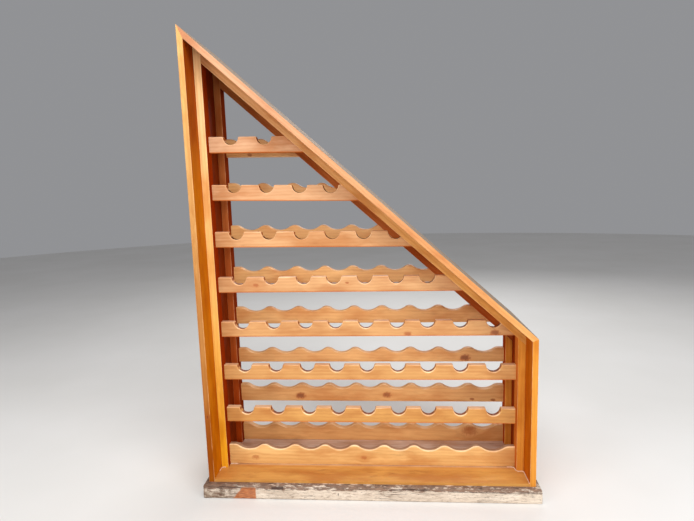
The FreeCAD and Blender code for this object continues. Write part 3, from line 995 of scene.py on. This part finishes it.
def wave_rail_group() -> bpy.types.NodeTree:
    """Make the tree that shapes a wavy rail: sweep, wave, tilt and saw cuts.

    Returns:
        The geometry tree.
    """
    sizes = ("Left End", "Right End", "Front", "Back", "Foot", "Crest", "Hollow Depth", "Trough Share",
             "End Flat", "Arris", "Tilt", "Slope Angle", "Slope Height", "Hand Wobble", "Seed")
    inputs: dict[str, tuple[str, Any]] = {label: ("NodeSocketFloat", 0.0) for label in sizes}
    inputs.update({"Bottle %d" % number: ("NodeSocketFloat", 0.0) for number in range(1, BOTTLES + 1)})
    inputs["Finish"] = ("NodeSocketMaterial", None)
    group, tree, source, sink = new_group("wave_rail", inputs, {"Mesh": "NodeSocketGeometry"},
                                          "GeometryNodeTree")
    left, right, front, back, foot, crest = (source.outputs[label] for label in sizes[:6])
    spare = 0.004
    sweep_steps = 320
    waste = 0.06
    saw_width = 0.2
    depth_middle = tree.math("MULTIPLY", tree.math("ADD", front, back), 0.5)
    height_middle = tree.math("MULTIPLY_ADD", crest, 0.5, foot)
    start = tree.add("ShaderNodeCombineXYZ", {"X": tree.math("SUBTRACT", left, spare), "Y": depth_middle,
                                              "Z": height_middle}).outputs[0]
    end = tree.add("ShaderNodeCombineXYZ", {"X": tree.math("ADD", right, spare), "Y": depth_middle,
                                            "Z": height_middle}).outputs[0]
    line = tree.add("GeometryNodeCurvePrimitiveLine", {"Start": start, "End": end}).outputs[0]
    line = tree.add("GeometryNodeResampleCurve", {"Curve": line, "Count": sweep_steps}).outputs[0]
    thick = tree.math("SUBTRACT", back, front)
    profile = tree.add("GeometryNodeCurvePrimitiveQuadrilateral",
                       {"Width": thick, "Height": crest}).outputs[0]
    profile = tree.add("GeometryNodeFilletCurve", {"Curve": profile, "Count": 3,
                                                   "Radius": source.outputs["Arris"]}, mode="POLY").outputs[0]
    bar = tree.add("GeometryNodeCurveToMesh", {"Curve": line, "Profile Curve": profile,
                                               "Fill Caps": True}).outputs[0]
    here = tree.add("GeometryNodeInputPosition").outputs[0]
    x, _, z = tree.add("ShaderNodeSeparateXYZ", {0: here}).outputs[:3]
    along = tree.add("ShaderNodeCombineXYZ", {"X": x, "Y": source.outputs["Seed"]}).outputs[0]
    wobble = tree.math("MULTIPLY", tree.math("SUBTRACT", tree.noise(along, 34.0, 3.0), 0.5),
                       source.outputs["Hand Wobble"])
    drop = tree.math("ADD", wave_drop(tree, source, x), tree.math("ABSOLUTE", wobble))
    offset = tree.add("ShaderNodeCombineXYZ", {"Z": tree.math("MULTIPLY", drop, -1.0)}).outputs[0]
    upper = tree.math("GREATER_THAN", z, height_middle)
    bar = tree.add("GeometryNodeSetPosition", {"Geometry": bar, "Selection": upper,
                                               "Offset": offset}).outputs[0]
    pivot = tree.add("ShaderNodeCombineXYZ", {"X": left, "Z": foot}).outputs[0]
    back_to_zero = tree.vector("SCALE", pivot)
    back_to_zero.inputs["Scale"].default_value = -1.0
    bar = tree.add("GeometryNodeTransform", {"Geometry": bar,
                                             "Translation": back_to_zero.outputs[0]}).outputs[0]
    turn = tree.add("ShaderNodeCombineXYZ", {"Y": source.outputs["Tilt"]}).outputs[0]
    bar = tree.add("GeometryNodeTransform", {"Geometry": bar, "Translation": pivot,
                                             "Rotation": turn}).outputs[0]
    size = tree.add("ShaderNodeCombineXYZ", {"X": waste, "Y": saw_width, "Z": 0.5}).outputs[0]
    cuts = []
    for edge, way in ((left, -0.5), (right, 0.5)):
        middle = tree.add("ShaderNodeCombineXYZ", {"X": tree.math("ADD", edge, waste * way),
                                                   "Y": depth_middle, "Z": foot}).outputs[0]
        cuts.append(block(tree, size, middle))
    wedge = block(tree, (3.0, saw_width, 0.6), (0.0, 0.0, 0.3))
    slope_turn = tree.add("ShaderNodeCombineXYZ", {"Y": source.outputs["Slope Angle"]}).outputs[0]
    slope_at = tree.add("ShaderNodeCombineXYZ", {"Y": depth_middle,
                                                 "Z": source.outputs["Slope Height"]}).outputs[0]
    cuts.append(tree.add("GeometryNodeTransform", {"Geometry": wedge, "Translation": slope_at,
                                                   "Rotation": slope_turn}).outputs[0])
    sawn = bar
    for cut in cuts:
        sawn = tree.add("GeometryNodeMeshBoolean", {"Mesh 1": sawn, "Mesh 2": cut},
                        operation="DIFFERENCE", solver="EXACT").outputs[0]
    finish_tree(tree, sawn, sink, source)
    return group


def worn_board_group() -> bpy.types.NodeTree:
    """Make the tree that shapes the plinth: a rounded board with knocked arrises and dented faces.

    Returns:
        The geometry tree.
    """
    group, tree, source, sink = new_group(
        "worn_board",
        {"Low Corner": ("NodeSocketVector", None), "High Corner": ("NodeSocketVector", None),
         "Top Round": ("NodeSocketFloat", 0.007), "Foot Round": ("NodeSocketFloat", 0.004),
         "Knock Depth": ("NodeSocketFloat", 0.003), "Dent Depth": ("NodeSocketFloat", 0.0007),
         "Seed": ("NodeSocketFloat", 0.0), "Finish": ("NodeSocketMaterial", None)},
        {"Mesh": "NodeSocketGeometry"}, "GeometryNodeTree")
    low, high = source.outputs["Low Corner"], source.outputs["High Corner"]
    size = tree.vector("SUBTRACT", high, low).outputs[0]
    half = tree.scaled(size, (0.5, 0.5, 0.5))
    middle = tree.vector("ADD", low, half).outputs[0]
    board = tree.add("GeometryNodeMeshCube", {"Size": size, "Vertices X": 300, "Vertices Y": 70,
                                              "Vertices Z": 18}).outputs[0]
    here = tree.add("GeometryNodeInputPosition").outputs[0]
    half_height = tree.add("ShaderNodeSeparateXYZ", {0: half}).outputs[2]
    height = tree.add("ShaderNodeSeparateXYZ", {0: here}).outputs[2]
    upper = tree.span(tree.math("DIVIDE", height, half_height), -0.5, 0.5)
    foot_round, top_round = source.outputs["Foot Round"], source.outputs["Top Round"]
    radius = tree.math("MULTIPLY_ADD", upper, tree.math("SUBTRACT", top_round, foot_round), foot_round)
    inner = tree.vector("SUBTRACT", half, tree.add("ShaderNodeCombineXYZ", {
        "X": radius, "Y": radius, "Z": radius}).outputs[0]).outputs[0]
    core = tree.vector("MAXIMUM", tree.vector("MINIMUM", here, inner).outputs[0],
                       tree.scaled(inner, (-1.0, -1.0, -1.0))).outputs[0]
    outward = tree.vector("NORMALIZE", tree.vector("SUBTRACT", here, core).outputs[0]).outputs[0]
    parts = tree.add("ShaderNodeSeparateXYZ", {0: tree.vector("ABSOLUTE", outward).outputs[0]}).outputs
    flat = tree.math("MAXIMUM", tree.math("MAXIMUM", parts[0], parts[1]), parts[2])
    arris = tree.math("MULTIPLY", tree.span(flat, 1.0, 0.80), upper)
    seeded = tree.add("ShaderNodeCombineXYZ", {"X": source.outputs["Seed"],
                                               "Y": source.outputs["Seed"]}).outputs[0]
    read_at = tree.vector("ADD", here, seeded).outputs[0]
    knocks = tree.span(tree.noise(tree.scaled(read_at, (34.0, 60.0, 90.0)), 1.0, 4.0, 0.6), 0.46, 0.74)
    dents = tree.noise(tree.scaled(read_at, (16.0, 60.0, 160.0)), 1.0, 3.0, 0.6)
    open_face = tree.math("SUBTRACT", 1.0, tree.span(parts[2], 0.80, 0.98))
    sink_by = tree.math("MULTIPLY", tree.math("MULTIPLY", knocks, arris), source.outputs["Knock Depth"])
    sink_by = tree.math("ADD", sink_by, tree.math(
        "MULTIPLY", tree.math("MULTIPLY", dents, open_face), source.outputs["Dent Depth"]))
    reach = tree.vector("SCALE", outward)
    tree.feed(reach.inputs["Scale"], tree.math("SUBTRACT", radius, sink_by))
    placed = tree.vector("ADD", tree.vector("ADD", core, reach.outputs[0]).outputs[0], middle).outputs[0]
    board = tree.add("GeometryNodeSetPosition", {"Geometry": board, "Position": placed}).outputs[0]
    finish_tree(tree, board, sink, source)
    return group


def bead_group() -> bpy.types.NodeTree:
    """Make the tree that squeezes a lumpy bead of filler along a path.

    Returns:
        The geometry tree.
    """
    group, tree, source, sink = new_group(
        "filler_bead",
        {"Path": ("NodeSocketGeometry", None), "Bead Radius": ("NodeSocketFloat", 0.0015),
         "Lumpiness": ("NodeSocketFloat", 0.5), "Seed": ("NodeSocketFloat", 0.0),
         "Finish": ("NodeSocketMaterial", None)},
        {"Mesh": "NodeSocketGeometry"}, "GeometryNodeTree")
    line = tree.add("GeometryNodeMeshToCurve", {"Mesh": source.outputs["Path"]}).outputs[0]
    line = tree.add("GeometryNodeFilletCurve", {"Curve": line, "Count": 5, "Radius": 0.006,
                                                "Limit Radius": True}, mode="POLY").outputs[0]
    line = tree.add("GeometryNodeResampleCurve", {"Curve": line, "Length": 0.0014}, mode="LENGTH").outputs[0]
    profile = tree.add("GeometryNodeCurvePrimitiveCircle",
                       {"Resolution": 10, "Radius": source.outputs["Bead Radius"]}).outputs[0]
    bead = tree.add("GeometryNodeCurveToMesh", {"Curve": line, "Profile Curve": profile,
                                                "Fill Caps": True}).outputs[0]
    here = tree.add("GeometryNodeInputPosition").outputs[0]
    seeded = tree.add("ShaderNodeCombineXYZ", {"X": source.outputs["Seed"]}).outputs[0]
    lumps = tree.noise(tree.vector("ADD", here, seeded).outputs[0], 260.0, 2.0)
    outward = tree.add("GeometryNodeInputNormal").outputs[0]
    push = tree.vector("SCALE", outward)
    size = tree.math("MULTIPLY", source.outputs["Bead Radius"], source.outputs["Lumpiness"])
    tree.feed(push.inputs["Scale"], tree.math("MULTIPLY", tree.math("SUBTRACT", lumps, 0.6), size))
    bead = tree.add("GeometryNodeSetPosition", {"Geometry": bead, "Offset": push.outputs[0]}).outputs[0]
    finish_tree(tree, bead, sink, source)
    return group


# ---- sub-assemblies -----------------------------------------------------
@dataclass
class CaseShell:
    """The two sides, the sloping top and the floor panel."""

    nodes: Mapping[str, bpy.types.Object]
    measures: RackMeasures

    def finish_for(self, stain: Stain, grain: Grain, **changes: Any) -> VarnishedPine:
        """Return a pine finish that knows the slope's angle."""
        return VarnishedPine(stain, grain, self.measures.slope_angle, **changes)

    def dress(self) -> None:
        """Dress the four boards."""
        angle = self.measures.slope_angle
        outward = self.measures.left * math.sin(angle) + self.measures.apex * math.cos(angle)
        front = self.measures.front
        mark = [Knot(self.measures.left + 0.010, 0.258, 0.006)]
        bare_gloss = {"coat": 0.0, "gloss": 0.03, "outer_face": self.measures.right}
        left = self.finish_for(Stain.LEFT_CASE, Grain.UPRIGHT, **bare_gloss)
        dress(self.nodes["left_side"], left.material("left_side", 3, mark, front))
        right = self.finish_for(Stain.RIGHT_CASE, Grain.UPRIGHT, **bare_gloss)
        dress(self.nodes["right_side"], right.material("right_side", 8))
        hood = self.finish_for(Stain.HOOD, Grain.DOWN_SLOPE, weathered_above=outward)
        dress(self.nodes["sloping_top"], hood.material("sloping_top", 5))
        # The floor gets a painted reflection behind the foot rail.
        floor = self.finish_for(Stain.FLOOR, Grain.ALONG_X, grime=0.80, coat=0.12,
                                dusty_behind=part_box("front_rail_8")[0].y)
        dress(self.nodes["floor_panel"], floor.material("floor_panel", 11))


@dataclass
class Battens:
    """The uprights and the sloping battens that carry the rails."""

    nodes: Mapping[str, bpy.types.Object]
    measures: RackMeasures

    def dress(self) -> None:
        """Dress the six battens, the rear ones darker."""
        for seed, (name, stain, grain) in enumerate((
                ("front_left_upright", Stain.LEFT_UPRIGHT, Grain.UPRIGHT),
                ("front_right_upright", Stain.RIGHT_UPRIGHT, Grain.UPRIGHT),
                ("front_slope_batten", Stain.SLOPE_BATTEN, Grain.DOWN_SLOPE),
                ("rear_left_upright", Stain.REAR_LEFT_BATTEN, Grain.UPRIGHT),
                ("rear_right_upright", Stain.REAR_RIGHT_BATTEN, Grain.UPRIGHT),
                ("rear_slope_batten", Stain.REAR_LEFT_BATTEN, Grain.DOWN_SLOPE)), start=20):
            finish = VarnishedPine(stain, grain, self.measures.slope_angle, coat=0.0, gloss=0.0)
            dress(self.nodes[name], finish.material(name, seed))


@dataclass
class BottleRails:
    """The rails: seven neck rails in front, and nine wavy rails that are shaped by rule."""

    nodes: Mapping[str, bpy.types.Object]
    measures: RackMeasures
    rows: int = 8
    tilts: Sequence[float] = (1.5, 1.7, 1.0, 0.4, 0.2, 0.2, 0.2, 0.0)
    rear_feet: Sequence[float] = (1.059, 0.914, 0.7695, 0.627, 0.4835, 0.3445, 0.200, 0.052)
    rear_crests: Sequence[float] = (0.060, 0.060, 0.060, 0.058, 0.059, 0.049, 0.062, 0.062)
    foot_rail_crest: float = 0.067
    bottle_middles: Sequence[float] = (0.106, 0.208, 0.310, 0.405, 0.501, 0.598, 0.692, 0.792, 0.893)
    hollow_depth: float = 0.016
    trough_share: float = 0.66
    end_flat: float = 0.015
    arris: float = 0.0035
    hand_wobble: float = 0.0010
    near_eye_rows: int = 3
    # Rows near eye level: a thinner painted rim highlight, a darker lining of stain and painted shade, and no
    # gloss.
    near_eye: Mapping[str, Any] = field(default_factory=lambda: {
        "coat": 0.0, "gloss": 0.0, "rim_highlight_depth": 0.0012, "lining": DARK_LINING_AND_SHADE})
    knots: Mapping[str, Sequence[Knot]] = field(default_factory=lambda: {
        "front_rail_4": (Knot(-0.340, 0.651, 0.0080, 0.55), Knot(-0.053, 0.654, 0.0050, 0.6)),
        "front_rail_5": (Knot(0.131, 0.490, 0.0100, 0.60), Knot(0.396, 0.491, 0.0125, 0.70)),
        "front_rail_8": (Knot(-0.373, 0.076, 0.0110, 0.40), Knot(-0.016, 0.078, 0.0090, 0.45)),
        "rear_rail_1": (Knot(-0.380, 1.064, 0.0070, 0.60),),
        "rear_rail_6": (Knot(0.330, 0.356, 0.0150, 0.75),),
        "rear_rail_7": (Knot(-0.245, 0.219, 0.0150, 0.75), Knot(0.061, 0.222, 0.0130, 0.70),
                        Knot(0.354, 0.207, 0.0070, 0.65), Knot(0.425, 0.204, 0.0075, 0.65)),
        "rear_rail_8": (Knot(0.345, 0.090, 0.0240, 0.45),),
    })

    def finish_for(self, name: str, stain: Stain, seed: int, **changes: Any) -> bpy.types.Material:
        """Make one rail's own material.

        Args:
            name: The rail's node.
            stain: Its stain.
            seed: Moves its grain.
            **changes: Changes to the finish.

        Returns:
            The material.
        """
        finish = VarnishedPine(stain, Grain.ALONG_X, self.measures.slope_angle, **changes)
        return finish.material(name, seed, self.knots.get(name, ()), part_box(name)[0].y)

    def dress_neck_rails(self) -> None:
        """Dress the seven neck rails, whose hollows show darker end grain with painted shade, a painted
        highlight at the rim and painted sheen on the lands.
        """
        for row in range(1, self.rows):
            name = "front_rail_%d" % row
            low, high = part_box(name)
            near_eye = self.near_eye if row <= self.near_eye_rows else {}
            drop = math.tan(math.radians(self.tilts[row - 1]))
            # The neck rails get painted sheen on the lands and painted shade along the foot.
            finish = self.finish_for(name, Stain.FRONT_RAIL, 30 + row * 2, hollows_below=high.z,
                                     hollow_face=low.y, pale_lands=0.35,
                                     amber_foot=(high.x, low.z, drop), **near_eye)
            dress(self.nodes[name], finish)

    def shape(self, name: str, piece_name: str, foot: float, crest: float, tilt: float, seed: int,
              stain: Stain, tree: bpy.types.NodeTree, **changes: Any) -> None:
        """Shape one wavy rail in place of its plain one.

        Args:
            name: The node that it stands for.
            piece_name: The new piece's name.
            foot: Height of its underside at the left end.
            crest: Height of its crests above that.
            tilt: How far the right end drops, in degrees.
            seed: Varies its grain and its hand-cut edge.
            stain: Its stain.
            tree: The rail's geometry tree.
            **changes: Changes to the finish.
        """
        low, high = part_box(name)
        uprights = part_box("front_left_upright")[1].x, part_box("front_right_upright")[0].x
        values = {"Left End": uprights[0], "Right End": uprights[1], "Front": low.y, "Back": high.y,
                  "Foot": foot, "Crest": crest, "Hollow Depth": self.hollow_depth,
                  "Trough Share": self.trough_share, "End Flat": self.end_flat, "Arris": self.arris,
                  "Tilt": math.radians(tilt), "Slope Angle": self.measures.slope_angle,
                  "Hand Wobble": self.hand_wobble, "Seed": float(seed),
                  "Slope Height": self.measures.slope_height(self.measures.board + self.measures.rear_batten),
                  "Finish": self.finish_for(name, stain, seed, **changes)}
        values.update({"Bottle %d" % number: self.measures.left + middle
                       for number, middle in enumerate(self.bottle_middles, start=1)})
        piece = bake(piece_name, tree, values)
        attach(piece, ROOT)
        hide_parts(name)

    def build(self) -> None:
        """Dress the neck rails and shape the wavy ones."""
        self.dress_neck_rails()
        tree = wave_rail_group()
        for row, (foot, crest, tilt) in enumerate(
                zip(self.rear_feet, self.rear_crests, self.tilts), start=1):
            self.shape("rear_rail_%d" % row, "rear_wave_rail_%d" % row, foot, crest, tilt, 31 + row * 2,
                       Stain.REAR_RAIL, tree)
        self.shape("front_rail_8", "front_foot_rail", self.rear_feet[-1], self.foot_rail_crest, 0.0, 46,
                   Stain.FOOT_RAIL, tree, hollows_below=self.rear_feet[-1] + self.foot_rail_crest + 0.020,
                   hollow_face=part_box("front_rail_8")[0].y, lining=DUSTY_EDGE)


@dataclass
class PlinthBoard:
    """The painted board under the case, knocked about along its arrises."""

    top_round: float = 0.007
    foot_round: float = 0.004
    knock_depth: float = 0.0028
    dent_depth: float = 0.0009

    def build(self) -> None:
        """Shape the worn board and paint it."""
        low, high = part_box("plinth_board")
        paint = FlakingPaint(front=low.y, left=low.x, top=high.z)
        piece = bake("worn_plinth_board", worn_board_group(), {
            "Low Corner": low, "High Corner": high, "Top Round": self.top_round,
            "Foot Round": self.foot_round, "Knock Depth": self.knock_depth, "Dent Depth": self.dent_depth,
            "Seed": 4.0,
            "Finish": paint.material("plinth_board")}, sharp=math.radians(60.0))
        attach(piece, ROOT)
        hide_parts("plinth_board")


@dataclass
class FillerBeads:
    """The pale beads of filler round the feet of the front uprights."""

    radius: float = 0.0014
    lumpiness: float = 0.9

    def lines(self) -> list[list[Vector]]:
        """Lay out the beads in the corners between the floor, the sides, the uprights and the front rail.

        Returns:
            One list of points for each bead.
        """
        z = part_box("floor_panel")[1].z + self.radius * 0.9
        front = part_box("left_side")[0].y
        left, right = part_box("front_left_upright"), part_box("front_right_upright")
        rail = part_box("front_rail_8")[0].y
        off = self.radius
        right_bead = [(right[1].x - off, front + 0.003), (right[1].x - off, right[0].y - off),
                      (right[0].x + 0.004, right[0].y - off * 2.0), (right[0].x - off, right[0].y + 0.004),
                      (right[0].x - off * 2.0, rail - 0.006), (right[0].x - 0.008, rail - off),
                      (right[0].x - 0.024, rail - off)]
        left_bead = [(left[0].x + off, left[0].y - 0.022), (left[0].x + off, left[0].y - off),
                     (left[0].x + 0.014, left[0].y - off)]
        streak = [(left[1].x + off, rail - off), (left[1].x + 0.026, rail - off)]
        return [[Vector((x, y, z)) for x, y in line] for line in (right_bead, left_bead, streak)]

    def build(self) -> None:
        """Squeeze the beads along their lines."""
        piece = bake("filler_beads", bead_group(), {
            "Bead Radius": self.radius, "Lumpiness": self.lumpiness, "Seed": 2.0,
            "Finish": HardFiller().material("corner_beads")}, self.lines(), sharp=math.radians(80.0))
        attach(piece, ROOT)
        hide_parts("corner_beads")


@dataclass
class Studio:
    """A pale floor, soft lights and the camera."""

    camera_at: Vector = field(default_factory=lambda: Vector((0.0758, -1.5783, 0.9358)))
    look_left: float = math.radians(4.77)
    look_down: float = math.radians(7.91)
    roll: float = math.radians(-1.85)
    lens: float = 26.07
    floor_radius: float = 9.0
    sky: float = 0.30

    def camera(self) -> None:
        """Make the camera and set it as the scene's own."""
        data = bpy.data.cameras.new("rack_camera")
        data.sensor_width = 36.0
        data.lens = self.lens
        camera = bpy.data.objects.new("rack_camera", data)
        bpy.context.scene.collection.objects.link(camera)
        turn = (Matrix.Rotation(self.look_left, 4, "Z")
                @ Matrix.Rotation(math.pi / 2.0 - self.look_down, 4, "X")
                @ Matrix.Rotation(self.roll, 4, "Z"))
        camera.matrix_world = Matrix.Translation(self.camera_at) @ turn
        bpy.context.scene.camera = camera

    def floor(self) -> None:
        """Make the pale floor."""
        mesh = bpy.data.meshes.new("studio_floor")
        shape = bmesh.new()
        bmesh.ops.create_circle(shape, cap_ends=True, segments=96, radius=self.floor_radius)
        shape.to_mesh(mesh)
        shape.free()
        floor = bpy.data.objects.new("studio_floor", mesh)
        bpy.context.scene.collection.objects.link(floor)
        material, tree, shader = start_material("studio_floor")
        here = tree.add("ShaderNodeTexCoord").outputs["Object"]
        tone = tree.ramp(tree.noise(here, 1.4, 3.0), [(0.3, linear(226, 224, 220)),
                                                      (0.7, linear(232, 230, 227))])
        tree.feed(shader.inputs["Base Color"], tone)
        shader.inputs["Roughness"].default_value = 0.85
        floor.data.materials.append(material)

    def lamp(self, name: str, at: Sequence[float], target: Sequence[float], size: float, power: float,
             colour: Colour = (1.0, 1.0, 1.0)) -> None:
        """Add one soft square light.

        Args:
            name: What it is called.
            at: Where it hangs, in metres.
            target: What it faces.
            size: The side of its square.
            power: Its power in watts.
            colour: Its colour.
        """
        data = bpy.data.lights.new(name, "AREA")
        data.size = size
        data.energy = power
        data.color = colour
        lamp = bpy.data.objects.new(name, data)
        lamp.location = at
        lamp.rotation_euler = (Vector(target) - Vector(at)).to_track_quat("-Z", "Y").to_euler()
        lamp.visible_camera = False
        bpy.context.scene.collection.objects.link(lamp)

    def lights(self) -> None:
        """Set the sky's even light and the lamps."""
        world = bpy.data.worlds.new("studio_sky")
        world.use_nodes = True
        sky = world.node_tree.nodes["Background"]
        sky.inputs["Color"].default_value = (0.95, 0.96, 1.0, 1.0)
        sky.inputs["Strength"].default_value = self.sky
        bpy.context.scene.world = world
        self.lamp("front_lamp", (0.2, -3.6, 1.9), (0.0, 0.0, 0.7), 1.2, 26.0)
        self.lamp("right_lamp", (2.4, -2.3, 1.4), (0.0, 0.0, 0.6), 1.4, 47.0)
        self.lamp("left_lamp", (-2.4, -2.3, 1.4), (0.0, 0.0, 0.6), 1.4, 36.0)
        self.lamp("top_lamp", (0.1, -1.5, 3.1), (0.0, 0.0, 0.6), 1.6, 54.0)
        self.lamp("back_lamp", (0.6, 2.6, 2.6), (0.0, 0.0, 0.8), 2.0, 44.0)

    def build(self) -> None:
        """Make the camera, the floor and the lights."""
        self.camera()
        self.floor()
        self.lights()
        bpy.context.scene.view_settings.view_transform = "Standard"


def main() -> None:
    """Build the rack's looks piece by piece."""
    logging.basicConfig(level=logging.INFO, format="%(name)s: %(message)s")
    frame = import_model()
    nodes = frame["nodes"]
    measures = RackMeasures.from_frame()
    Studio().build()
    CaseShell(nodes, measures).dress()
    Battens(nodes, measures).dress()
    BottleRails(nodes, measures).build()
    PlinthBoard().build()
    FillerBeads().build()


if __name__ == "__main__":
    main()
